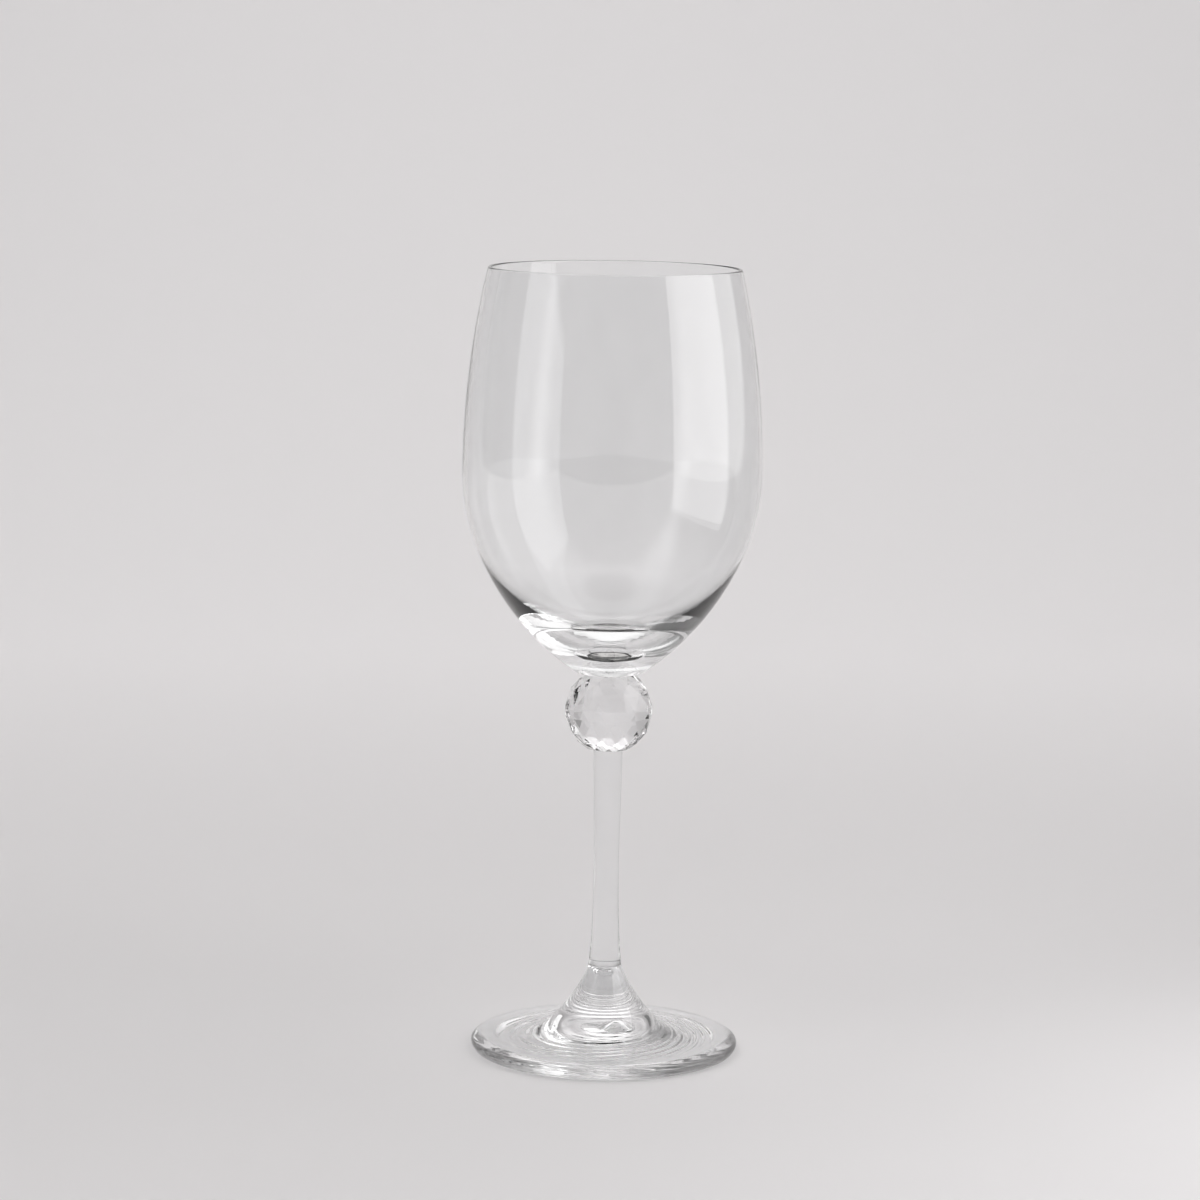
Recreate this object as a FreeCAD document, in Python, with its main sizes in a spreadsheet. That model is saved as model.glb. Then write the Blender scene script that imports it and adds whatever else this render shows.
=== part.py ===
import FreeCAD, Part
import math
import os
import re
import Sketcher

# A stemmed wine glass, in millimetres and degrees, with +Z up. The origin is the
# centre of the foot, on the table. A blown bowl stands on a faceted crystal ball,
# and the ball on a solid stem; a thin film of clear adhesive joins each pair. The
# stem is drawn hot onto a pressed foot, so those two meet face to face.
#
# Every curve of an outline is a cubic. Its "pull" is the length of its handle: how
# strongly it keeps, near one end, to the direction that it has there.

SIZES = {
    # Foot: a disc that rises to the neck, hollowed underneath.
    "foot_diameter": 77.0,
    "foot_edge_thickness": 4.0,
    "foot_shoulder_width": 3.2,
    "foot_shoulder_slope": 10.0,
    "foot_heel_width": 1.6,
    "foot_plate_slope": 2.0,
    "foot_flare_diameter": 43.4,
    "foot_flare_pull": 5.9,
    "foot_rise": 24.5,
    "foot_neck_pull": 4.6,
    "foot_contact_width": 4.9,
    "foot_hollow_depth": 2.4,
    "foot_dimple_diameter": 8.4,
    "foot_dimple_depth": 3.0,
    "foot_dimple_aside": 2.6,
    # Neck: where the stem meets the foot, and how far both lean out there.
    "neck_diameter": 9.6,
    "neck_lean": 7.2,
    # Stem: slimmest at its waist, whose height is above the neck.
    "stem_length": 63.4,
    "stem_top_diameter": 8.3,
    "stem_top_pull": 14.0,
    "stem_waist_diameter": 7.26,
    "stem_waist_height": 30.0,
    "stem_waist_pull": 12.0,
    "stem_neck_pull": 7.2,
    # Adhesive films, set back from the edge of the smaller face that they join.
    "film_thickness": 0.1,
    "film_setback": 0.2,
    # Ball: rings of facet corners on a sphere, between two ground flats.
    "ball_diameter": 25.2,
    "ball_facets_round": 12,
    "ball_turn": 7.5,
    "ball_girdle_latitude": 6.5,
    "ball_middle_latitude": 29.5,
    "ball_upper_latitude": 46.0,
    "ball_flat_latitude": 60.5,
    # Bowl: heights are above its ground underside.
    "bowl_height": 115.5,
    "rim_diameter": 71.8,
    "rim_lean": 13.1,
    "rim_wall": 1.0,
    "rim_round": 0.4,
    "rim_pull": 19.5,
    "belly_diameter": 85.2,
    "belly_height": 57.3,
    "belly_wall": 1.2,
    "belly_upper_pull": 19.6,
    "belly_lower_pull": 26.4,
    "bowl_inside_pull": 25.5,
    "base_diameter": 18.9,
    "base_slope": 31.8,
    "base_pull": 16.0,
    "base_edge_round": 0.4,
    "base_thickness": 8.3,
}

ORIGIN = -1
RADIUS_AXIS = -1
SPIN_AXIS = -2
START = 1
END = 2
CENTRE = 3
ZERO = "0"
FULL_TURN = 360.0
SAME = 1e-6

# A cubic follows a quarter of an ellipse when its handles are this share of the half axes.
QUARTER = 0.5523

# Where each piece starts, from the table up, and the sizes that several pieces share.
LOWER_FILM_FOOT = "foot_rise + stem_length"
BALL_FOOT = f"{LOWER_FILM_FOOT} + film_thickness"
BALL_HALF_HEIGHT = "ball_diameter / 2 * sin(ball_flat_latitude)"
BALL_CENTRE = f"{BALL_FOOT} + {BALL_HALF_HEIGHT}"
UPPER_FILM_FOOT = f"{BALL_CENTRE} + {BALL_HALF_HEIGHT}"
BOWL_FOOT = f"{UPPER_FILM_FOOT} + film_thickness"
BALL_FLAT_RADIUS = (
    "ball_diameter / 2 * cos(ball_flat_latitude) * cos(180 / ball_facets_round)"
)


def make_sheet(doc):
    """The sheet holds each driving size under its own name."""
    sheet = doc.addObject("Spreadsheet::Sheet", "sizes")
    for row, (name, value) in enumerate(SIZES.items(), start=1):
        sheet.set(f"A{row}", name)
        sheet.set(f"B{row}", str(value))
        sheet.setAlias(f"B{row}", name)
    doc.recompute()
    return sheet


def rule(text):
    """The document's expression for a rule that is written with plain size names."""
    return re.sub("[a-z_]+", lambda word: "sizes." * (word[0] in SIZES) + word[0], text)


def value_of(item, text):
    """What a rule comes to at the present sizes."""
    return float(item.evalExpression(rule(text)))


def add_body(doc, label):
    body = doc.addObject("PartDesign::Body", label)
    body.Label = label
    return body


def add_sketch(body, name):
    """A sketch in the body's XZ plane: across is the radius, and up is the height."""
    plane = next(item for item in body.Origin.OriginFeatures if item.Role == "XZ_Plane")
    sketch = body.newObject("Sketcher::SketchObject", name)
    sketch.AttachmentSupport = [(plane, "")]
    sketch.MapMode = "FlatFace"
    return sketch


def pin(sketch, geometry, point, corner):
    """Hold a point of the sketch at a corner: a rule for its radius and one for its height."""
    across, up = corner
    for kind, axis, text in (("DistanceX", SPIN_AXIS, across), ("DistanceY", RADIUS_AXIS, up)):
        if text == ZERO:
            sketch.addConstraint(Sketcher.Constraint("PointOnObject", geometry, point, axis))
            continue
        value = value_of(sketch, text)
        size = Sketcher.Constraint(kind, ORIGIN, START, geometry, point, value)
        row = sketch.addConstraint(size)
        sketch.setExpression(f"Constraints[{row}]", rule(text))


def spot(sketch, corner):
    across, up = corner
    return FreeCAD.Vector(value_of(sketch, across), value_of(sketch, up), 0)


def draw_stretch(sketch, points):
    """A straight line between two points, or a cubic whose middle points are handles."""
    if len(points) == 2:
        return sketch.addGeometry(Part.LineSegment(*points), False)
    curve = Part.BSplineCurve()
    degree = len(points) - 1
    curve.buildFromPolesMultsKnots(points, [degree + 1, degree + 1], [0, 1], False, degree)
    geometry = sketch.addGeometry(curve, False)
    sketch.exposeInternalGeometry(geometry)
    return geometry


def draw_outline(sketch, stretches):
    """A closed outline. Each stretch is its start corner, then a curve's two handles."""
    ends = [stretch[0] for stretch in stretches[1:] + stretches[:1]]
    drawn = []
    for stretch, end in zip(stretches, ends):
        points = [spot(sketch, corner) for corner in stretch + [end]]
        drawn.append(draw_stretch(sketch, points))
    for this, following in zip(drawn, drawn[1:] + drawn[:1]):
        sketch.addConstraint(Sketcher.Constraint("Coincident", this, END, following, START))
    for geometry, stretch in zip(drawn, stretches):
        pin(sketch, geometry, START, stretch[0])
        for order, handle in enumerate(stretch[1:], start=1):
            first_pole = geometry + 1
            pin(sketch, first_pole + order, CENTRE, handle)


def spin(body, name, kind, stretches):
    """Turn an outline once round the vertical axis, as a solid or as a cut."""
    sketch = add_sketch(body, f"{name}_outline")
    draw_outline(sketch, stretches)
    feature = body.newObject(kind, name)
    feature.Profile = sketch
    feature.ReferenceAxis = (sketch, ["V_Axis"])
    feature.Angle = FULL_TURN
    body.Tip = feature
    return feature


def round_edges(body, name, radius, corners):
    """Round the level circular edges that pass through the given corners."""
    body.Document.recompute()
    base = body.Tip
    spots = [spot(base, corner) for corner in corners]
    chosen = []
    for number, edge in enumerate(base.Shape.Edges, start=1):
        box = edge.BoundBox
        for place in spots:
            level = abs(box.ZMin - place.y) < SAME and abs(box.ZMax - place.y) < SAME
            if level and abs(box.XMax - place.x) < SAME:
                chosen.append(f"Edge{number}")
    feature = body.newObject("PartDesign::Fillet", name)
    feature.Base = (base, chosen)
    feature.setExpression("Radius", rule(radius))
    body.Tip = feature
    return feature


def raise_to(item, height):
    """Stand a sub-part at its height on the vertical axis."""
    item.setExpression("Placement.Base.z", rule(height))


def make_foot(doc):
    """The pressed foot: a plate that rises to the neck, hollow and dimpled underneath."""
    body = add_body(doc, "foot")
    edge = "foot_diameter / 2"
    heel = ("foot_diameter / 2 - foot_heel_width", ZERO)
    heel_handle = (f"{heel[0]} + {QUARTER} * foot_heel_width", ZERO)
    below_widest = (edge, f"foot_edge_thickness / 2 * (1 - {QUARTER})")
    widest = (edge, "foot_edge_thickness / 2")
    above_widest = (edge, f"foot_edge_thickness / 2 * (1 + {QUARTER})")
    shoulder = ("foot_diameter / 2 - foot_shoulder_width", "foot_edge_thickness")
    shoulder_run = f"{QUARTER} * foot_shoulder_width"
    shoulder_handle = (
        f"{shoulder[0]} + {shoulder_run}",
        f"{shoulder[1]} - {shoulder_run} * tan(foot_shoulder_slope)",
    )
    plate_run = f"({shoulder[0]} - foot_flare_diameter / 2)"
    flare = (
        "foot_flare_diameter / 2",
        f"foot_edge_thickness + {plate_run} * tan(foot_plate_slope)",
    )
    flare_handle = (
        f"{flare[0]} - foot_flare_pull * cos(foot_plate_slope)",
        f"{flare[1]} + foot_flare_pull * sin(foot_plate_slope)",
    )
    neck_handle = (
        "neck_diameter / 2 + foot_neck_pull * sin(neck_lean)",
        "foot_rise - foot_neck_pull * cos(neck_lean)",
    )
    spin(body, "foot_blank", "PartDesign::Revolution", [
        [(ZERO, ZERO)],
        [heel, heel_handle, below_widest],
        [widest, above_widest, shoulder_handle],
        [shoulder],
        [flare, flare_handle, neck_handle],
        [("neck_diameter / 2", "foot_rise")],
        [(ZERO, "foot_rise")],
    ])
    hollow_radius = f"({heel[0]} - foot_contact_width)"
    spin(body, "foot_hollow", "PartDesign::Groove", [
        [
            (ZERO, "foot_hollow_depth"),
            (f"{hollow_radius} / 2", "foot_hollow_depth"),
            (f"{hollow_radius} * 3 / 4", "foot_hollow_depth / 2"),
        ],
        [(hollow_radius, ZERO)],
        [(ZERO, ZERO)],
    ])
    dimple_roof = "foot_hollow_depth + foot_dimple_depth"
    inside_hollow = "foot_hollow_depth / 2"
    dimple = spin(body, "foot_dimple", "PartDesign::Groove", [
        [
            (ZERO, dimple_roof),
            ("foot_dimple_diameter / 4", dimple_roof),
            ("foot_dimple_diameter / 2", "foot_hollow_depth"),
        ],
        [("foot_dimple_diameter / 2", inside_hollow)],
        [(ZERO, inside_hollow)],
    ])
    # The dimple lies off the axis, on one of the planes that mirror the ball's facets.
    sketch = dimple.Profile[0]
    sketch.setExpression("AttachmentOffset.Base.x", rule("foot_dimple_aside * cos(ball_turn)"))
    sketch.setExpression("AttachmentOffset.Base.z", rule("foot_dimple_aside * sin(ball_turn)"))
    return body


def make_stem(doc):
    """The solid stem: it leans into the neck, narrows to a waist and widens to its top."""
    body = add_body(doc, "stem")
    neck_handle = (
        "neck_diameter / 2 - stem_neck_pull * sin(neck_lean)",
        "stem_neck_pull * cos(neck_lean)",
    )
    waist_radius = "stem_waist_diameter / 2"
    top_radius = "stem_top_diameter / 2"
    spin(body, "stem_rod", "PartDesign::Revolution", [
        [(ZERO, ZERO)],
        [
            ("neck_diameter / 2", ZERO),
            neck_handle,
            (waist_radius, "stem_waist_height - stem_waist_pull"),
        ],
        [
            (waist_radius, "stem_waist_height"),
            (waist_radius, "stem_waist_height + stem_waist_pull"),
            (top_radius, "stem_length - stem_top_pull"),
        ],
        [(top_radius, "stem_length")],
        [(ZERO, "stem_length")],
    ])
    raise_to(body, "foot_rise")
    return body


def make_film(doc, label, radius, height):
    """A disc of clear adhesive that fills the gap between two level faces."""
    film = doc.addObject("Part::Cylinder", label)
    film.Label = label
    film.setExpression("Radius", rule(radius))
    film.setExpression("Height", rule("film_thickness"))
    raise_to(film, height)
    return film


def make_bowl(doc):
    """The blown bowl: thin wall, thick base, ground underside and fire-polished rim."""
    body = add_body(doc, "bowl")
    rim_inside = ("rim_diameter / 2 - rim_wall", "bowl_height")
    rim_outside = ("rim_diameter / 2", "bowl_height")
    base_edge = ("base_diameter / 2", ZERO)
    outer_belly = "belly_diameter / 2"
    inner_belly = "belly_diameter / 2 - belly_wall"
    rim_in = "rim_pull * sin(rim_lean)"
    rim_down = "bowl_height - rim_pull * cos(rim_lean)"
    spin(body, "bowl_shell", "PartDesign::Revolution", [
        [(ZERO, ZERO)],
        [
            base_edge,
            (f"{base_edge[0]} + base_pull * cos(base_slope)", "base_pull * sin(base_slope)"),
            (outer_belly, "belly_height - belly_lower_pull"),
        ],
        [
            (outer_belly, "belly_height"),
            (outer_belly, "belly_height + belly_upper_pull"),
            (f"{rim_outside[0]} + {rim_in}", rim_down),
        ],
        [rim_outside],
        [
            rim_inside,
            (f"{rim_inside[0]} + {rim_in}", rim_down),
            (inner_belly, "belly_height + belly_upper_pull"),
        ],
        [
            (inner_belly, "belly_height"),
            (inner_belly, "belly_height - bowl_inside_pull"),
            ("bowl_inside_pull", "base_thickness"),
        ],
        [(ZERO, "base_thickness")],
    ])
    round_edges(body, "rim_polish", "rim_round", [rim_outside, rim_inside])
    round_edges(body, "base_arris", "base_edge_round", [base_edge])
    raise_to(body, BOWL_FOOT)
    return body


def ball_ring(sheet, latitude, turn):
    """The facet corners at one latitude, turned round the vertical axis."""
    count = int(value_of(sheet, "ball_facets_round"))
    radius = value_of(sheet, "ball_diameter / 2")
    corners = []
    for index in range(count):
        angle = math.radians(turn + FULL_TURN * index / count)
        across = radius * math.cos(math.radians(latitude))
        height = radius * math.sin(math.radians(latitude))
        corner = FreeCAD.Vector(across * math.sin(angle), -across * math.cos(angle), height)
        corners.append(corner)
    return corners


def facet(*corners):
    """One flat face between its corners."""
    return Part.Face(Part.makePolygon(list(corners) + [corners[0]]))


def staggered_facets(lower, upper, lead):
    """Triangles that fill the band between two rings that are half a step apart."""
    count = len(lower)
    facets = []
    for index in range(count):
        following = (index + 1) % count
        above = (index + lead) % count
        facets.append(facet(lower[index], lower[following], upper[above]))
        above_next = (above + 1) % count
        facets.append(facet(lower[following], upper[above_next], upper[above]))
    return facets


def make_ball(doc, sheet):
    """The cut ball. Its corners lie on one sphere: a girdle of level rectangles, three
    bands of triangles above and below it, and a flat at each pole. Such a shape is
    neither drawn and pushed nor joined from simple solids, so it is made facet by facet."""
    turn = value_of(sheet, "ball_turn")
    half_step = value_of(sheet, "180 / ball_facets_round")
    girdle = value_of(sheet, "ball_girdle_latitude")
    middle = value_of(sheet, "ball_middle_latitude")
    upper = value_of(sheet, "ball_upper_latitude")
    flat = value_of(sheet, "ball_flat_latitude")
    facets = []
    for side in (1, -1):
        rings = [
            ball_ring(sheet, side * girdle, turn),
            ball_ring(sheet, side * middle, turn + half_step),
            ball_ring(sheet, side * upper, turn),
            ball_ring(sheet, side * flat, turn + half_step),
        ]
        for order, (near, far) in enumerate(zip(rings, rings[1:])):
            leads_by_half_step = order % 2 == 0
            facets += staggered_facets(near, far, 0 if leads_by_half_step else 1)
        facets.append(facet(*rings[-1]))
    above = ball_ring(sheet, girdle, turn)
    below = ball_ring(sheet, -girdle, turn)
    for index in range(len(above)):
        following = (index + 1) % len(above)
        facets.append(facet(below[index], below[following], above[following], above[index]))
    solid = Part.Solid(Part.Shell(facets))
    ball = doc.addObject("Part::Feature", "faceted_ball")
    ball.Label = "faceted_ball"
    ball.Shape = solid if solid.Volume > 0 else solid.reversed()
    raise_to(ball, BALL_CENTRE)
    return ball


def check(doc, pieces):
    """Stop if any feature failed, if a shape is not one sound solid, or if a cut cut nothing."""
    for item in doc.Objects:
        failed = [state for state in item.State if state in ("Invalid", "Error")]
        if failed:
            raise RuntimeError(f"{item.Label} did not build: {failed}")
    for piece in pieces:
        shape = piece.Shape
        if shape.isNull() or not shape.isValid() or len(shape.Solids) != 1:
            raise RuntimeError(f"{piece.Label} is not one sound solid")
    blank = doc.getObject("foot_blank").Shape.Volume
    hollowed = doc.getObject("foot_hollow").Shape.Volume
    dimpled = doc.getObject("foot_dimple").Shape.Volume
    if not blank > hollowed > dimpled:
        raise RuntimeError("a cut in the foot removed nothing")


def main():
    doc = FreeCAD.newDocument("wine_glass")
    sheet = make_sheet(doc)
    smaller_face = f"min(stem_top_diameter / 2 ; {BALL_FLAT_RADIUS})"
    base_face = f"min(base_diameter / 2 - base_edge_round ; {BALL_FLAT_RADIUS})"
    pieces = [
        make_foot(doc),
        make_stem(doc),
        make_film(doc, "lower_bond_film", f"{smaller_face} - film_setback", LOWER_FILM_FOOT),
        make_ball(doc, sheet),
        make_film(doc, "upper_bond_film", f"{base_face} - film_setback", UPPER_FILM_FOOT),
        make_bowl(doc),
    ]
    doc.recompute()
    check(doc, pieces)
    os.makedirs("parts", exist_ok=True)
    for piece in pieces:
        piece.Shape.exportStep(f"parts/{piece.Label}.step")
        box = piece.Shape.BoundBox
        print(f"{piece.Label}: {piece.Shape.Volume:.1f} mm3, "
              f"z {box.ZMin:.2f} to {box.ZMax:.2f}, across {box.XLength:.2f}")


main()
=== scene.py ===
import math

import bmesh
import bpy
from bpy.props import FloatProperty, FloatVectorProperty, IntProperty, PointerProperty
from mathutils import Matrix, Vector


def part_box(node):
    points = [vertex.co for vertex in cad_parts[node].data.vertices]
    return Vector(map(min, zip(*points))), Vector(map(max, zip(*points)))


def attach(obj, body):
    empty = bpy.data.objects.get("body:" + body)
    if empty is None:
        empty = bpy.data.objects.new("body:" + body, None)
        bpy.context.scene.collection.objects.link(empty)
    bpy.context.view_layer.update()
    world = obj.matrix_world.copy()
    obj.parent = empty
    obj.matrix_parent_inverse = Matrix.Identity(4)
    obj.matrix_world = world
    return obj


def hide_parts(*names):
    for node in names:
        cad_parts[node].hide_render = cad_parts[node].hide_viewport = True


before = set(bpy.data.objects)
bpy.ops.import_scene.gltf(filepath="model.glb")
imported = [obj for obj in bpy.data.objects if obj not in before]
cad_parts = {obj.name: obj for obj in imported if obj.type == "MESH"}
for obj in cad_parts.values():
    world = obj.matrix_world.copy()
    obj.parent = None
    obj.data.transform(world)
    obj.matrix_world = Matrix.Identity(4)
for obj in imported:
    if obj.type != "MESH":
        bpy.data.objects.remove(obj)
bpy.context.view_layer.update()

bl_info = {
    "name": "Faceted Stem Wine Glass",
    "version": (1, 0, 0),
    "blender": (4, 5, 0),
    "location": "3D Viewport > Sidebar > Wine Glass",
    "description": "Builds a wine glass with a cut crystal ball between its bowl and stem",
    "category": "Add Mesh",
}

MM = 0.001
BODY = "root"

# How finely outlines turn, how far films reach into the glass, and the handle of a quarter round.
SEGMENTS = 288
OVERLAP = 0.02 * MM
ROUND = 0.5523

GLASS_IOR = 1.53
CRYSTAL_IOR = 1.56
ADHESIVE_IOR = 1.5
LAMP_SHARE = 0.96

# How rings wander round the axis: each term is its turns, its size and its start, in radians.
WAVE_DRIFT = ((1, 1.4, 0.4), (3, 0.7, 0.0))
WRINKLE_DRIFT = ((3, 1.1, 0.0), (7, 0.8, 1.0), (16, 0.5, 0.0))
RING_DRIFT = ((2, 0.8, 0.0), (5, 0.5, 1.0), (11, 0.2, 0.0))
WRINKLE_COUNT = 9

CAMERA_DISTANCE = 1.086
CAMERA_HEIGHT = 0.2902
CAMERA_LENS = 115.4
CAMERA_ASIDE = -2.94 * MM
CAMERA_PITCH = math.radians(8.35)
CAMERA_ROLL = math.radians(0.85)
FLOOR_DROP = 0.05 * MM
LIGHT_BOUNCES = 11
TENT_GLOW = 1.17

# Each opening: degrees round from the camera towards +X, degrees up, the radius that is
# fully dark, the radius where the tent is white again, and the share of its glow that is left.
OPENINGS = [
    (0, 5, 46, 60, 0.1),
    (-95, 12, 26, 40, 0.12),
    (0, 85, 12, 24, 0.02),
]


def node_width(node):
    low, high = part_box(node)
    return high.x - low.x


def node_height(node):
    low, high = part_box(node)
    return high.z - low.z


def length(name, description, default):
    """A length in metres that the sidebar shows in the scene's own unit."""
    return FloatProperty(
        name=name,
        description=description,
        default=default,
        min=0.0,
        precision=5,
        subtype="DISTANCE",
        unit="LENGTH",
    )


def turn(name, description, degrees):
    """An angle that the sidebar shows in degrees."""
    return FloatProperty(
        name=name,
        description=description,
        default=math.radians(degrees),
        subtype="ANGLE",
        unit="ROTATION",
    )


def colour(name, description, default):
    return FloatVectorProperty(
        name=name,
        description=description,
        default=default,
        size=3,
        min=0.0,
        max=1.0,
        subtype="COLOR",
    )


class FootSizes(bpy.types.PropertyGroup):
    diameter: length("Diameter", "Across the edge of the foot", node_width("foot"))
    rise: length("Rise", "From the table to the neck", node_height("foot"))
    edge_thickness: length("Edge thickness", "Thickness of the plate at its edge", 4.0 * MM)
    shoulder_width: length("Shoulder width", "How far in the rounded edge reaches on top", 3.2 * MM)
    heel_width: length("Heel width", "How far in the rounded edge reaches underneath", 1.6 * MM)
    shoulder_slope: turn("Shoulder slope", "How steeply the rounded edge leaves the plate", 10.0)
    plate_slope: turn("Plate slope", "How steeply the plate rises from its edge", 2.0)
    flare_diameter: length("Flare diameter", "Where the plate turns up into the neck", 43.4 * MM)
    flare_pull: length("Flare pull", "How long the curve keeps to the plate's slope", 5.9 * MM)
    neck_pull: length("Neck pull", "How long the curve keeps to the neck's lean", 4.6 * MM)
    neck_diameter: length("Neck diameter", "Where the stem meets the foot", node_width("stem"))
    neck_lean: turn("Neck lean", "How far the surface leans out at the neck", 7.2)
    contact_width: length("Contact width", "Width of the flat ring that stands on the table", 4.9 * MM)
    hollow_depth: length("Hollow depth", "Height of the hollow under the foot", 2.4 * MM)
    dimple_diameter: length("Dimple diameter", "Across the dimple in the hollow", 8.4 * MM)
    dimple_depth: length("Dimple depth", "How far the dimple goes into the hollow's roof", 3.0 * MM)
    dimple_aside: length("Dimple aside", "How far the dimple lies off the axis", 2.6 * MM)
    wave_depth: length("Wave depth", "Height of the pressed waves in the hollow", 0.17 * MM)
    wave_pitch: length("Wave pitch", "Distance from one pressed wave to the next", 3.4 * MM)
    wrinkle_depth: length("Wrinkle depth", "Depth of the wrinkles along the edge", 0.015 * MM)
    seam_round: length("Seam rounding", "Softness of the seam at the neck", 0.25 * MM)


class StemSizes(bpy.types.PropertyGroup):
    length: length("Length", "From the neck to the ball", node_height("stem"))
    top_diameter: length("Top diameter", "Across the end under the ball", 8.3 * MM)
    top_pull: length("Top pull", "How long the curve runs straight below the top", 14.0 * MM)
    waist_diameter: length("Waist diameter", "Across the slimmest place", 7.26 * MM)
    waist_height: length("Waist height", "From the neck to the slimmest place", 30.0 * MM)
    waist_pull: length("Waist pull", "How long the curve runs straight at the waist", 12.0 * MM)
    neck_pull: length("Neck pull", "How long the curve keeps to the neck's lean", 7.2 * MM)


class BallSizes(bpy.types.PropertyGroup):
    diameter: length("Diameter", "Across the sphere that the facet corners lie on", 25.2 * MM)
    facets_round: IntProperty(
        name="Facets round", description="Facet corners in each ring", default=12, min=3
    )
    turn: turn("Turn", "How far the ball is turned about the axis of the glass", 7.5)
    girdle: turn("Girdle latitude", "Latitude of the ring beside the girdle", 6.5)
    middle: turn("Middle latitude", "Latitude of the next ring", 29.5)
    upper: turn("Upper latitude", "Latitude of the third ring", 46.0)
    flat: turn("Flat latitude", "Latitude of the ring round each flat", 60.5)
    arris: length("Arris", "Width of the polished edge between facets", 0.12 * MM)


class BowlSizes(bpy.types.PropertyGroup):
    height: length("Height", "From the ground underside to the rim", node_height("bowl"))
    rim_diameter: length("Rim diameter", "Outside the rim", 71.8 * MM)
    rim_lean: turn("Rim lean", "How far the wall leans in at the rim", 13.1)
    rim_wall: length("Rim wall", "Wall thickness at the rim", 1.0 * MM)
    rim_round: length("Rim rounding", "Radius of the fire-polished lip", 0.42 * MM)
    rim_pull: length("Rim pull", "How long the wall keeps to its lean at the rim", 19.5 * MM)
    belly_diameter: length("Belly diameter", "Outside the widest place", 85.2 * MM)
    belly_height: length("Belly height", "From the underside to the widest place", 57.3 * MM)
    belly_wall: length("Belly wall", "Wall thickness at the widest place", 1.2 * MM)
    belly_upper_pull: length("Upper belly pull", "Roundness above the widest place", 19.6 * MM)
    belly_lower_pull: length("Lower belly pull", "Roundness below the widest place", 26.4 * MM)
    inside_pull: length("Inside pull", "Roundness of the inside towards its bottom", 25.5 * MM)
    base_diameter: length("Base diameter", "Across the ground underside", 18.9 * MM)
    base_slope: turn("Base slope", "How steeply the wall leaves the underside", 31.8)
    base_pull: length("Base pull", "How long the wall keeps to that slope", 16.0 * MM)
    base_thickness: length("Base thickness", "Glass under the bottom of the inside", 8.3 * MM)
    base_round: length("Base rounding", "Softness of the underside's edge", 0.4 * MM)
    ring_depth: length("Ring depth", "Depth of the fine rings in the base", 0.012 * MM)
    ring_pitch: length("Ring pitch", "Distance from one fine ring to the next", 1.7 * MM)


class GlassLooks(bpy.types.PropertyGroup):
    glass_colour: colour("Glass", "Colour that light keeps at each glass surface", (0.985, 0.99, 0.992))
    crystal_colour: colour("Crystal", "Colour that light keeps at each facet", (0.99, 0.99, 0.995))
    adhesive_colour: colour("Adhesive", "Colour of the cured adhesive", (0.99, 0.985, 0.96))
    floor_colour: colour("Floor", "Colour of the paper sweep", (0.83, 0.815, 0.82))


# ---- outlines: lists of (radius, height) in metres, turned round the axis ----


def cubic(start, start_handle, end_handle, end, steps):
    """Points of a cubic curve, without its last point."""
    points = []
    for step in range(steps):
        t = step / steps
        s = 1 - t
        points.append(
            s**3 * Vector(start)
            + 3 * s * s * t * Vector(start_handle)
            + 3 * s * t * t * Vector(end_handle)
            + t**3 * Vector(end)
        )
    return points


def straight(start, end, steps):
    """Points of a straight line, without its last point."""
    return [Vector(start).lerp(Vector(end), step / steps) for step in range(steps)]


def rounded(before, corner, after, radius, steps=8):
    """A soft corner between two directions, from its first point to its last."""
    corner = Vector(corner)
    start = corner + (Vector(before) - corner).normalized() * radius
    end = corner + (Vector(after) - corner).normalized() * radius
    points = []
    for step in range(steps + 1):
        t = step / steps
        points.append((1 - t) ** 2 * start + 2 * t * (1 - t) * corner + t * t * end)
    return points


def clear_of(points, corner, distance):
    """The points that are further than a distance from a corner."""
    return [point for point in points if (point - Vector(corner)).length > distance]


def lathe(name, outline, segments):
    """A closed mesh: an outline from axis to axis, bottom first, turned once round."""
    shell = bmesh.new()
    rings = []
    for radius, height in outline:
        if radius < 1e-7:
            rings.append([shell.verts.new((0.0, 0.0, height))])
            continue
        ring = []
        for index in range(segments):
            angle = 2 * math.pi * index / segments
            place = (radius * math.cos(angle), radius * math.sin(angle), height)
            ring.append(shell.verts.new(place))
        rings.append(ring)
    for lower, upper in zip(rings, rings[1:]):
        for index in range(segments):
            following = (index + 1) % segments
            corners = [lower[index % len(lower)], lower[following % len(lower)]]
            corners += [upper[following % len(upper)], upper[index % len(upper)]]
            unlike = list(dict.fromkeys(corners))
            if len(unlike) > 2:
                shell.faces.new(unlike)
    for face in shell.faces:
        face.smooth = True
    bmesh.ops.recalc_face_normals(shell, faces=shell.faces)
    mesh = bpy.data.meshes.new(name)
    shell.to_mesh(mesh)
    shell.free()
    return mesh


def add_piece(name, mesh, material, slot, *nodes):
    """Put a finished mesh in the scene in place of its CAD nodes."""
    piece = bpy.data.objects.new(name, mesh)
    bpy.context.scene.collection.objects.link(piece)
    mesh.materials.clear()
    mesh.materials.append(material)
    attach(piece, BODY)
    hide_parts(*nodes)
    return piece


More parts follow.
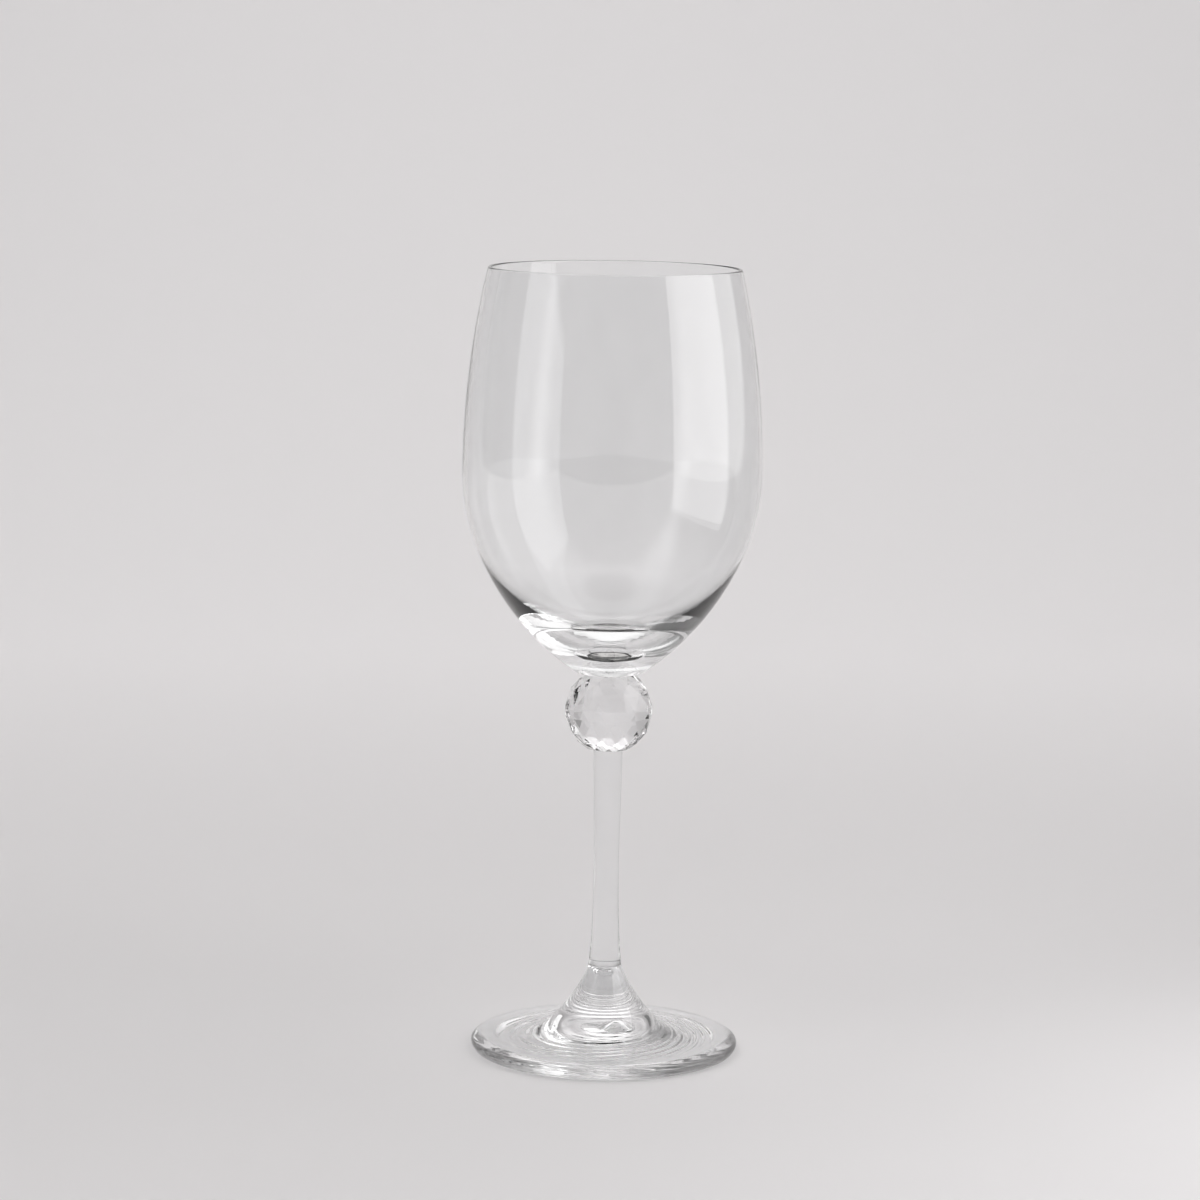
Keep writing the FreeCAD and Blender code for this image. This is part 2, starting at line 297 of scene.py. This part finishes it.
def foot_outline(sizes):
    """The foot from the dimple under it, round its edge, and up to the neck."""
    edge = sizes.diameter / 2
    thick = sizes.edge_thickness
    roof = sizes.hollow_depth
    hollow = edge - sizes.heel_width - sizes.contact_width
    dimple = sizes.dimple_diameter / 2
    peak = roof + sizes.dimple_depth
    dimple_end = (dimple * 1.2, roof * 0.99)
    flare = sizes.flare_diameter / 2
    shoulder = edge - sizes.shoulder_width
    heel = edge - sizes.heel_width
    plate_top = thick + (shoulder - flare) * math.tan(sizes.plate_slope)
    neck = (sizes.neck_diameter / 2, sizes.rise)
    flare_handle = (
        flare - sizes.flare_pull * math.cos(sizes.plate_slope),
        plate_top + sizes.flare_pull * math.sin(sizes.plate_slope),
    )
    neck_handle = (
        neck[0] + sizes.neck_pull * math.sin(sizes.neck_lean),
        neck[1] - sizes.neck_pull * math.cos(sizes.neck_lean),
    )
    widest = (edge, thick / 2)
    low_handles = ((heel + ROUND * sizes.heel_width, 0.0), (edge, thick / 2 * (1 - ROUND)))
    shoulder_run = ROUND * sizes.shoulder_width
    high_handles = (
        (edge, thick / 2 * (1 + ROUND)),
        (shoulder + shoulder_run, thick - shoulder_run * math.tan(sizes.shoulder_slope)),
    )
    points = cubic((0.0, peak), (dimple * 0.55, peak), (dimple * 0.95, roof), dimple_end, 20)
    points += cubic(dimple_end, (hollow / 2, roof), (hollow * 0.75, roof / 2), (hollow, 0.0), 150)
    points += straight((hollow, 0.0), (heel, 0.0), 6)
    points += cubic((heel, 0.0), *low_handles, widest, 14)
    points += cubic(widest, *high_handles, (shoulder, thick), 18)
    points += straight((shoulder, thick), (flare, plate_top), 24)
    rise = cubic((flare, plate_top), flare_handle, neck_handle, neck, 64)
    points += clear_of(rise, neck, sizes.seam_round)
    points += rounded(neck_handle, neck, (0.0, sizes.rise), sizes.seam_round)
    points += straight((neck[0] - 2 * sizes.seam_round, sizes.rise), (0.0, sizes.rise), 4)
    return points + [Vector((0.0, sizes.rise))]


def wander(terms, around):
    """The shift of a ring's phase at an angle round the axis."""
    return sum(size * math.sin(turns * around + start) for turns, size, start in terms)


def press_waves(mesh, sizes, mirror_turn):
    """The mould leaves uneven rings in the roof of the hollow, and a dimple off its middle."""
    inner = sizes.dimple_diameter / 2
    outer = sizes.diameter / 2 - sizes.heel_width - sizes.contact_width
    peak = sizes.hollow_depth + sizes.dimple_depth + 0.1 * MM
    aside = sizes.dimple_aside * Vector((math.cos(mirror_turn), -math.sin(mirror_turn)))
    for vertex in mesh.vertices:
        place = vertex.co
        radius = place.xy.length
        if place.z > peak or radius > outer or (place.z > sizes.hollow_depth and radius > inner):
            continue
        around = math.atan2(place.y, place.x)
        if radius > inner:
            share = math.sin(math.pi * (radius - inner) / (outer - inner)) ** 0.7
            pitch = sizes.wave_pitch * (1 - 0.2 * math.cos(around))
            drift = wander(WAVE_DRIFT, around)
            place.z += sizes.wave_depth * share * math.sin(2 * math.pi * radius / pitch + drift)
        follow = min(1.0, max(0.0, (outer - radius) / (outer - 1.3 * inner)))
        place.xy += aside * follow


def wrinkle_edge(mesh, sizes):
    """Fire polishing leaves fine wrinkles that run along the rounded edge."""
    shoulder = sizes.diameter / 2 - sizes.shoulder_width
    middle = Vector((shoulder, sizes.edge_thickness / 2))
    for vertex in mesh.vertices:
        place = vertex.co
        radius = place.xy.length
        if radius < shoulder or place.z < 0.2 * MM:
            continue
        around = math.atan2(place.y, place.x)
        out = Vector((radius, place.z)) - middle
        turn_up = math.atan2(out.y, out.x)
        drift = wander(WRINKLE_DRIFT, around)
        fade = min(1.0, (radius - shoulder) / (0.3 * sizes.shoulder_width))
        depth = sizes.wrinkle_depth * fade * math.sin(WRINKLE_COUNT * turn_up + drift)
        inward = out.normalized() * depth
        place.xy -= place.xy.normalized() * (inward.x + sizes.wrinkle_depth * fade)
        place.z -= inward.y


def stem_outline(sizes, foot):
    """The stem from inside the neck, past its waist, to its flat top."""
    base = foot.rise
    overlap = OVERLAP
    neck = foot.neck_diameter / 2
    waist = sizes.waist_diameter / 2
    top = sizes.top_diameter / 2
    waist_height = base + sizes.waist_height
    top_height = base + sizes.length
    neck_handle = (
        neck - sizes.neck_pull * math.sin(foot.neck_lean),
        base + sizes.neck_pull * math.cos(foot.neck_lean),
    )
    end = (top, top_height)
    lower = cubic(
        (neck, base), neck_handle, (waist, waist_height - sizes.waist_pull), (waist, waist_height), 60
    )
    upper = cubic(
        (waist, waist_height),
        (waist, waist_height + sizes.waist_pull),
        (top, top_height - sizes.top_pull),
        end,
        60,
    )
    soft = foot.seam_round
    inner_neck = neck - 1.5 * soft
    points = straight((0.0, base - overlap), (inner_neck, base - overlap), 4)
    points += straight((inner_neck, base - overlap), (inner_neck, base), 2)
    points += rounded((inner_neck, base), (neck, base), neck_handle, soft)
    points += clear_of(lower, (neck, base), soft)
    points += clear_of(upper, end, soft)
    points += rounded((top, top_height - sizes.top_pull), end, (0.0, top_height), soft)
    points += straight((top - 2 * soft, top_height), (0.0, top_height), 4)
    return points + [Vector((0.0, top_height))]


def bowl_outline(sizes, base):
    """The bowl from its underside, up its outside, over the rim and down inside."""
    belly = sizes.belly_diameter / 2
    belly_height = base + sizes.belly_height
    underside = (sizes.base_diameter / 2, base)
    rim_height = base + sizes.height
    outer_rim = (sizes.rim_diameter / 2, rim_height)
    inner_rim = (outer_rim[0] - sizes.rim_wall, rim_height)
    inner_belly = belly - sizes.belly_wall
    bottom = base + sizes.base_thickness
    lean = (sizes.rim_pull * math.sin(sizes.rim_lean), -sizes.rim_pull * math.cos(sizes.rim_lean))
    outer_rim_handle = (outer_rim[0] + lean[0], rim_height + lean[1])
    inner_rim_handle = (inner_rim[0] + lean[0], rim_height + lean[1])
    base_handle = (
        underside[0] + sizes.base_pull * math.cos(sizes.base_slope),
        base + sizes.base_pull * math.sin(sizes.base_slope),
    )
    upper_belly = belly_height + sizes.belly_upper_pull
    outer_low = cubic(
        underside, base_handle, (belly, belly_height - sizes.belly_lower_pull), (belly, belly_height), 90
    )
    outer_high = cubic((belly, belly_height), (belly, upper_belly), outer_rim_handle, outer_rim, 60)
    inner_high = cubic(
        inner_rim, inner_rim_handle, (inner_belly, upper_belly), (inner_belly, belly_height), 60
    )
    inner_low = cubic(
        (inner_belly, belly_height),
        (inner_belly, belly_height - sizes.inside_pull),
        (sizes.inside_pull, bottom),
        (0.0, bottom),
        90,
    )
    points = straight((0.0, base), (underside[0] - 2 * sizes.base_round, base), 6)
    points += rounded((0.0, base), underside, base_handle, sizes.base_round)
    points += clear_of(outer_low, underside, sizes.base_round)
    points += clear_of(outer_high, outer_rim, sizes.rim_round)
    points += rounded(outer_rim_handle, outer_rim, inner_rim, sizes.rim_round)
    points += rounded(outer_rim, inner_rim, inner_rim_handle, sizes.rim_round)
    points += clear_of(inner_high, inner_rim, sizes.rim_round)
    return points + inner_low + [Vector((0.0, bottom))]


def ring_base(mesh, sizes, base):
    """Fine rings that blowing leaves in the thick glass at the bottom of the bowl."""
    start = sizes.base_diameter / 2 + sizes.base_round
    end = sizes.belly_diameter * 0.31
    top = base + sizes.base_thickness + 14 * MM
    for vertex in mesh.vertices:
        place = vertex.co
        radius = place.xy.length
        inside = place.z > base + sizes.base_thickness - 0.1 * MM and radius < end
        outside = start < radius < end
        if place.z > top or not (inside or outside):
            continue
        around = math.atan2(place.y, place.x)
        fade = min(1.0, (end - radius) / (0.4 * end))
        if not inside:
            fade = min(fade, (radius - start) / (0.2 * start))
        drift = wander(RING_DRIFT, around)
        place.z += sizes.ring_depth * fade * math.sin(2 * math.pi * radius / sizes.ring_pitch + drift)


def film_outline(radius, low, high):
    """A thin disc that reaches a hair into the glass on each side of it."""
    points = straight((0.0, low - OVERLAP), (radius, low - OVERLAP), 6)
    points += straight((radius, low - OVERLAP), (radius, high + OVERLAP), 2)
    points += straight((radius, high + OVERLAP), (0.0, high + OVERLAP), 6)
    return points + [Vector((0.0, high + OVERLAP))]


# ---- the cut ball: a node tree that wraps rings of facet corners ----


def number_input(tree, name, value, socket_type="NodeSocketFloat"):
    socket = tree.interface.new_socket(name, in_out="INPUT", socket_type=socket_type)
    socket.default_value = value
    return socket


def math_node(tree, operation, *values):
    """A Math node whose inputs are numbers or other nodes' outputs."""
    node = tree.nodes.new("ShaderNodeMath")
    node.operation = operation
    for socket, value in zip(node.inputs, values):
        if isinstance(value, bpy.types.NodeSocket):
            tree.links.new(value, socket)
        else:
            socket.default_value = value
    return node.outputs[0]


def ball_tree(material):
    """Rings of corners, each half a step round from the last, under one tight skin."""
    tree = bpy.data.node_groups.new("cut_ball", "GeometryNodeTree")
    tree.interface.new_socket("Geometry", in_out="OUTPUT", socket_type="NodeSocketGeometry")
    number_input(tree, "Corners", 12, "NodeSocketInt")
    for name in ("Radius", "Centre Height", "Turn", "Girdle", "Middle", "Upper", "Flat"):
        number_input(tree, name, 0.0)
    given = tree.nodes.new("NodeGroupInput").outputs
    half_step = math_node(tree, "DIVIDE", math.pi, given["Corners"])
    join = tree.nodes.new("GeometryNodeJoinGeometry")
    for order, latitude in enumerate(("Girdle", "Middle", "Upper", "Flat")):
        across = math_node(
            tree, "MULTIPLY", given["Radius"], math_node(tree, "COSINE", given[latitude])
        )
        away = math_node(tree, "MULTIPLY", given["Radius"], math_node(tree, "SINE", given[latitude]))
        stagger = math_node(tree, "MULTIPLY_ADD", half_step, float(order % 2), given["Turn"])
        spin_angle = math_node(tree, "SUBTRACT", stagger, math.pi / 2)
        for side in (1.0, -1.0):
            ring = tree.nodes.new("GeometryNodeMeshCircle")
            tree.links.new(given["Corners"], ring.inputs["Vertices"])
            tree.links.new(across, ring.inputs["Radius"])
            height = math_node(tree, "MULTIPLY_ADD", away, side, given["Centre Height"])
            place = tree.nodes.new("ShaderNodeCombineXYZ")
            tree.links.new(height, place.inputs["Z"])
            spin = tree.nodes.new("ShaderNodeCombineXYZ")
            tree.links.new(spin_angle, spin.inputs["Z"])
            lift = tree.nodes.new("GeometryNodeTransform")
            tree.links.new(ring.outputs["Mesh"], lift.inputs["Geometry"])
            tree.links.new(place.outputs[0], lift.inputs["Translation"])
            tree.links.new(spin.outputs[0], lift.inputs["Rotation"])
            tree.links.new(lift.outputs[0], join.inputs[0])
    skin = tree.nodes.new("GeometryNodeConvexHull")
    real = tree.nodes.new("GeometryNodeRealizeInstances")
    finish = tree.nodes.new("GeometryNodeSetMaterial")
    finish.inputs["Material"].default_value = material
    out = tree.nodes.new("NodeGroupOutput")
    tree.links.new(join.outputs[0], skin.inputs["Geometry"])
    tree.links.new(skin.outputs[0], real.inputs[0])
    tree.links.new(real.outputs[0], finish.inputs["Geometry"])
    tree.links.new(finish.outputs[0], out.inputs[0])
    return tree


def evaluated_mesh(holder):
    """The plain mesh that an object's modifiers give."""
    graph = bpy.context.evaluated_depsgraph_get()
    return bpy.data.meshes.new_from_object(holder.evaluated_get(graph), depsgraph=graph)


def cut_ball_mesh(sizes, centre, material):
    """Facets from the node tree, then their level edges joined and their arrises eased."""
    holder = bpy.data.objects.new("ball_holder", bpy.data.meshes.new("ball_holder"))
    bpy.context.scene.collection.objects.link(holder)
    modifier = holder.modifiers.new("cut_ball", "NODES")
    tree = ball_tree(material)
    modifier.node_group = tree
    settings = {
        "Corners": sizes.facets_round,
        "Radius": sizes.diameter / 2,
        "Centre Height": centre,
        "Turn": sizes.turn,
        "Girdle": sizes.girdle,
        "Middle": sizes.middle,
        "Upper": sizes.upper,
        "Flat": sizes.flat,
    }
    for socket in tree.interface.items_tree:
        if socket.in_out == "INPUT":
            modifier[socket.identifier] = settings[socket.name]
    facets = bmesh.new()
    facets.from_mesh(evaluated_mesh(holder))
    bpy.data.objects.remove(holder)
    level = math.radians(1.0)
    bmesh.ops.dissolve_limit(
        facets, angle_limit=level, verts=facets.verts[:], edges=facets.edges[:]
    )
    bmesh.ops.bevel(
        facets,
        geom=facets.edges[:],
        offset=sizes.arris / 2,
        offset_type="WIDTH",
        segments=1,
        affect="EDGES",
        profile=0.5,
    )
    bmesh.ops.recalc_face_normals(facets, faces=facets.faces)
    mesh = bpy.data.meshes.new("faceted_ball")
    facets.to_mesh(mesh)
    facets.free()
    return mesh


# ---- finishes ----

def clear_material(name, tint, ior, ripple_size, ripple_depth, stretch, haze):
    """Clear glass with slow ripples in its surface, faint streaks and a breath of haze."""
    material = bpy.data.materials.new(name)
    material.use_nodes = True
    tree = material.node_tree
    shader = tree.nodes["Principled BSDF"]
    shader.inputs["IOR"].default_value = ior
    shader.inputs["Transmission Weight"].default_value = 1.0
    place = tree.nodes.new("ShaderNodeTexCoord")
    fit = tree.nodes.new("ShaderNodeMapping")
    fit.inputs["Scale"].default_value = (1.0, 1.0, stretch)
    tree.links.new(place.outputs["Object"], fit.inputs["Vector"])

    ripple = tree.nodes.new("ShaderNodeTexNoise")
    ripple.inputs["Scale"].default_value = 1.0 / ripple_size
    ripple.inputs["Detail"].default_value = 1.5
    tree.links.new(fit.outputs[0], ripple.inputs["Vector"])
    bump = tree.nodes.new("ShaderNodeBump")
    bump.inputs["Strength"].default_value = 1.0
    bump.inputs["Distance"].default_value = ripple_depth
    tree.links.new(ripple.outputs["Fac"], bump.inputs["Height"])
    tree.links.new(bump.outputs[0], shader.inputs["Normal"])

    streaks = tree.nodes.new("ShaderNodeTexNoise")
    streaks.inputs["Scale"].default_value = 4.0 / ripple_size
    streaks.inputs["Detail"].default_value = 3.0
    tree.links.new(fit.outputs[0], streaks.inputs["Vector"])
    shade = tree.nodes.new("ShaderNodeValToRGB")
    shade.color_ramp.elements[0].position = 0.35
    shade.color_ramp.elements[0].color = (*[0.985 * part for part in tint], 1.0)
    shade.color_ramp.elements[1].position = 0.65
    shade.color_ramp.elements[1].color = (*tint, 1.0)
    tree.links.new(streaks.outputs["Fac"], shade.inputs[0])
    tree.links.new(shade.outputs[0], shader.inputs["Base Color"])

    smear = tree.nodes.new("ShaderNodeMapRange")
    smear.inputs["From Min"].default_value = 0.45
    smear.inputs["From Max"].default_value = 0.8
    smear.inputs["To Min"].default_value = 0.0
    smear.inputs["To Max"].default_value = haze
    tree.links.new(streaks.outputs["Fac"], smear.inputs["Value"])
    tree.links.new(smear.outputs[0], shader.inputs["Roughness"])

    lamp_ray = tree.nodes.new("ShaderNodeLightPath")
    pass_through = tree.nodes.new("ShaderNodeBsdfTransparent")
    pass_through.inputs["Color"].default_value = (*[LAMP_SHARE * part for part in tint], 1.0)
    pick = tree.nodes.new("ShaderNodeMixShader")
    tree.links.new(lamp_ray.outputs["Is Shadow Ray"], pick.inputs[0])
    tree.links.new(shader.outputs[0], pick.inputs[1])
    tree.links.new(pass_through.outputs[0], pick.inputs[2])
    tree.links.new(pick.outputs[0], tree.nodes["Material Output"].inputs["Surface"])
    return material


def paper_material(tint):
    """Matt pale paper with a faint tooth."""
    material = bpy.data.materials.new("sweep_paper")
    material.use_nodes = True
    tree = material.node_tree
    shader = tree.nodes["Principled BSDF"]
    shader.inputs["Roughness"].default_value = 0.85
    shader.inputs["Specular IOR Level"].default_value = 0.2
    place = tree.nodes.new("ShaderNodeTexCoord")
    tooth = tree.nodes.new("ShaderNodeTexNoise")
    tooth.inputs["Scale"].default_value = 900.0
    tree.links.new(place.outputs["Object"], tooth.inputs["Vector"])
    shade = tree.nodes.new("ShaderNodeValToRGB")
    shade.color_ramp.elements[0].color = (*[0.985 * part for part in tint], 1.0)
    shade.color_ramp.elements[1].color = (*tint, 1.0)
    tree.links.new(tooth.outputs["Fac"], shade.inputs[0])
    tree.links.new(shade.outputs[0], shader.inputs["Base Color"])
    return material


# ---- operators ----

class FootBuilder(bpy.types.Operator):
    """Turn the pressed foot on the lathe"""

    bl_idname = "wine_glass.make_foot"
    bl_label = "Make Foot"

    def execute(self, context):
        looks = context.scene.wine_glass_looks
        finish = clear_material(
            "pressed_glass", looks.glass_colour, GLASS_IOR, 14 * MM, 0.05 * MM, 1.0, 0.02
        )
        outline = foot_outline(context.scene.wine_glass_foot)
        mesh = lathe("pressed_foot", outline, SEGMENTS)
        press_waves(mesh, context.scene.wine_glass_foot, context.scene.wine_glass_ball.turn)
        wrinkle_edge(mesh, context.scene.wine_glass_foot)
        add_piece("pressed_foot", mesh, finish, "foot_glass", "foot")
        return {"FINISHED"}


class StemBuilder(bpy.types.Operator):
    """Turn the drawn stem on the lathe"""

    bl_idname = "wine_glass.make_stem"
    bl_label = "Make Stem"

    def execute(self, context):
        looks = context.scene.wine_glass_looks
        finish = clear_material(
            "drawn_glass", looks.glass_colour, GLASS_IOR, 6 * MM, 0.02 * MM, 0.15, 0.01
        )
        outline = stem_outline(context.scene.wine_glass_stem, context.scene.wine_glass_foot)
        mesh = lathe("drawn_stem", outline, 128)
        add_piece("drawn_stem", mesh, finish, "stem_glass", "stem")
        return {"FINISHED"}


class BallBuilder(bpy.types.Operator):
    """Cut the crystal ball's facets"""

    bl_idname = "wine_glass.make_ball"
    bl_label = "Make Cut Ball"

    def execute(self, context):
        looks = context.scene.wine_glass_looks
        finish = clear_material(
            "cut_crystal", looks.crystal_colour, CRYSTAL_IOR, 9 * MM, 0.004 * MM, 1.0, 0.005
        )
        low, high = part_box("faceted_ball")
        centre = (low.z + high.z) / 2
        mesh = cut_ball_mesh(context.scene.wine_glass_ball, centre, finish)
        add_piece("cut_ball", mesh, finish, "cut_crystal", "faceted_ball")
        return {"FINISHED"}


class BondBuilder(bpy.types.Operator):
    """Lay the two films of clear adhesive"""

    bl_idname = "wine_glass.make_bonds"
    bl_label = "Make Bond Films"

    def execute(self, context):
        looks = context.scene.wine_glass_looks
        finish = clear_material(
            "clear_adhesive", looks.adhesive_colour, ADHESIVE_IOR, 2 * MM, 0.001 * MM, 1.0, 0.02
        )
        for node in ("lower_bond_film", "upper_bond_film"):
            low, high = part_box(node)
            outline = film_outline(high.x, low.z, high.z)
            name = node.replace("_film", "_layer")
            add_piece(name, lathe(name, outline, 96), finish, "bond_adhesive", node)
        return {"FINISHED"}


class BowlBuilder(bpy.types.Operator):
    """Turn the blown bowl on the lathe"""

    bl_idname = "wine_glass.make_bowl"
    bl_label = "Make Bowl"

    def execute(self, context):
        looks = context.scene.wine_glass_looks
        finish = clear_material(
            "blown_glass", looks.glass_colour, GLASS_IOR, 30 * MM, 0.06 * MM, 0.5, 0.012
        )
        low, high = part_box("bowl")
        outline = bowl_outline(context.scene.wine_glass_bowl, low.z)
        mesh = lathe("blown_bowl", outline, SEGMENTS)
        ring_base(mesh, context.scene.wine_glass_bowl, low.z)
        add_piece("blown_bowl", mesh, finish, "bowl_glass", "bowl")
        return {"FINISHED"}


def add_light(name, place, target, width, height, radiance):
    """A rectangular soft light of a given brightness that faces a target."""
    lamp = bpy.data.lights.new(name, "AREA")
    lamp.shape = "RECTANGLE"
    lamp.size = width
    lamp.size_y = height
    lamp.energy = radiance * math.pi * width * height
    holder = bpy.data.objects.new(name, lamp)
    facing = Vector(target) - Vector(place)
    holder.matrix_world = Matrix.Translation(place) @ facing.to_track_quat("-Z", "Y").to_matrix().to_4x4()
    bpy.context.scene.collection.objects.link(holder)


def sweep_mesh(half_width, front, bend, radius, top, steps=24):
    """Paper that lies flat and curves up behind the glass."""
    profile = [(front, 0.0)]
    for step in range(steps + 1):
        angle = math.pi / 2 * step / steps
        profile.append((bend + radius * math.sin(angle), radius * (1 - math.cos(angle))))
    profile.append((bend + radius, top))
    sheet = bmesh.new()
    rows = []
    for depth, height in profile:
        ends = [(side * half_width, depth, height - FLOOR_DROP) for side in (-1, 1)]
        rows.append([sheet.verts.new(end) for end in ends])
    for near, far in zip(rows, rows[1:]):
        face = sheet.faces.new((near[0], near[1], far[1], far[0]))
        face.smooth = True
    mesh = bpy.data.meshes.new("paper_sweep")
    sheet.to_mesh(mesh)
    sheet.free()
    return mesh


def studio_world():
    """A white tent all round, with dark openings where the room shows through."""
    world = bpy.data.worlds.new("white_tent")
    world.use_nodes = True
    tree = world.node_tree
    place = tree.nodes.new("ShaderNodeTexCoord")
    glow = TENT_GLOW
    for around, up, core, spread, darkness in OPENINGS:
        toward = tree.nodes.new("ShaderNodeVectorMath")
        toward.operation = "DOT_PRODUCT"
        toward.inputs[1].default_value = direction(around, up)
        tree.links.new(place.outputs["Generated"], toward.inputs[0])
        shade = tree.nodes.new("ShaderNodeMapRange")
        shade.interpolation_type = "SMOOTHSTEP"
        shade.inputs["From Min"].default_value = math.cos(math.radians(spread))
        shade.inputs["From Max"].default_value = math.cos(math.radians(core))
        shade.inputs["To Min"].default_value = 1.0
        shade.inputs["To Max"].default_value = darkness
        tree.links.new(toward.outputs["Value"], shade.inputs["Value"])
        glow = math_node(tree, "MULTIPLY", glow, shade.outputs[0])
    background = tree.nodes["Background"]
    background.inputs["Color"].default_value = (1.0, 0.992, 0.988, 1.0)
    tree.links.new(glow, background.inputs["Strength"])
    return world


def direction(around, up):
    """A unit vector: degrees round from the camera's side towards +X, and degrees up."""
    around, up = math.radians(around), math.radians(up)
    return (math.sin(around) * math.cos(up), -math.cos(around) * math.cos(up), math.sin(up))


class StageBuilder(bpy.types.Operator):
    """Set the paper sweep, the lights and the camera"""

    bl_idname = "wine_glass.make_stage"
    bl_label = "Make Stage"

    def execute(self, context):
        scene = context.scene
        mesh = sweep_mesh(1.6, -1.6, 0.7, 0.45, 1.6)
        mesh.materials.append(paper_material(scene.wine_glass_looks.floor_colour))
        sweep = bpy.data.objects.new("paper_sweep", mesh)
        scene.collection.objects.link(sweep)

        scene.world = studio_world()

        add_light("side_softbox", (0.3, -0.138, 0.26), (0.0, -0.138, 0.26), 0.32, 0.42, 1.25)
        add_light("backdrop_light", (0.0, 0.75, 1.1), (0.0, 1.75, 0.5), 1.4, 0.3, 4.6)

        lens = bpy.data.cameras.new("camera")
        lens.lens = CAMERA_LENS
        lens.sensor_width = 36.0
        lens.clip_start = 0.05
        camera = bpy.data.objects.new("camera", lens)
        aim = Matrix.Rotation(math.pi / 2 - CAMERA_PITCH, 4, "X")
        roll = Matrix.Rotation(CAMERA_ROLL, 4, "Z")
        place = Matrix.Translation((CAMERA_ASIDE, -CAMERA_DISTANCE, CAMERA_HEIGHT))
        camera.matrix_world = place @ aim @ roll
        scene.collection.objects.link(camera)
        scene.camera = camera

        scene.view_settings.view_transform = "Standard"
        scene.cycles.max_bounces = LIGHT_BOUNCES
        scene.cycles.transmission_bounces = LIGHT_BOUNCES
        scene.cycles.glossy_bounces = LIGHT_BOUNCES
        return {"FINISHED"}


class WineGlassPanel(bpy.types.Panel):
    """The pieces of the glass and their sizes"""

    bl_idname = "VIEW3D_PT_wine_glass"
    bl_label = "Wine Glass"
    bl_space_type = "VIEW_3D"
    bl_region_type = "UI"
    bl_category = "Wine Glass"

    def draw(self, context):
        for maker, group in PIECES:
            box = self.layout.box()
            box.operator(maker.bl_idname)
            if group:
                sizes = getattr(context.scene, group)
                for name in sizes.bl_rna.properties.keys():
                    if name not in ("rna_type", "name"):
                        box.prop(sizes, name)


GROUPS = {
    "wine_glass_foot": FootSizes,
    "wine_glass_stem": StemSizes,
    "wine_glass_ball": BallSizes,
    "wine_glass_bowl": BowlSizes,
    "wine_glass_looks": GlassLooks,
}
PIECES = [
    (FootBuilder, "wine_glass_foot"),
    (StemBuilder, "wine_glass_stem"),
    (BondBuilder, None),
    (BallBuilder, "wine_glass_ball"),
    (BowlBuilder, "wine_glass_bowl"),
    (StageBuilder, "wine_glass_looks"),
]


def register():
    for group in GROUPS.values():
        bpy.utils.register_class(group)
    for name, group in GROUPS.items():
        setattr(bpy.types.Scene, name, PointerProperty(type=group))
    for maker, _ in PIECES:
        bpy.utils.register_class(maker)
    bpy.utils.register_class(WineGlassPanel)


def unregister():
    bpy.utils.unregister_class(WineGlassPanel)
    for maker, _ in reversed(PIECES):
        bpy.utils.unregister_class(maker)
    for name in GROUPS:
        delattr(bpy.types.Scene, name)
    for group in reversed(GROUPS.values()):
        bpy.utils.unregister_class(group)


def main():
    register()
    for maker, _ in PIECES:
        family, action = maker.bl_idname.split(".")
        getattr(getattr(bpy.ops, family), action)()


if __name__ == "__main__":
    main()
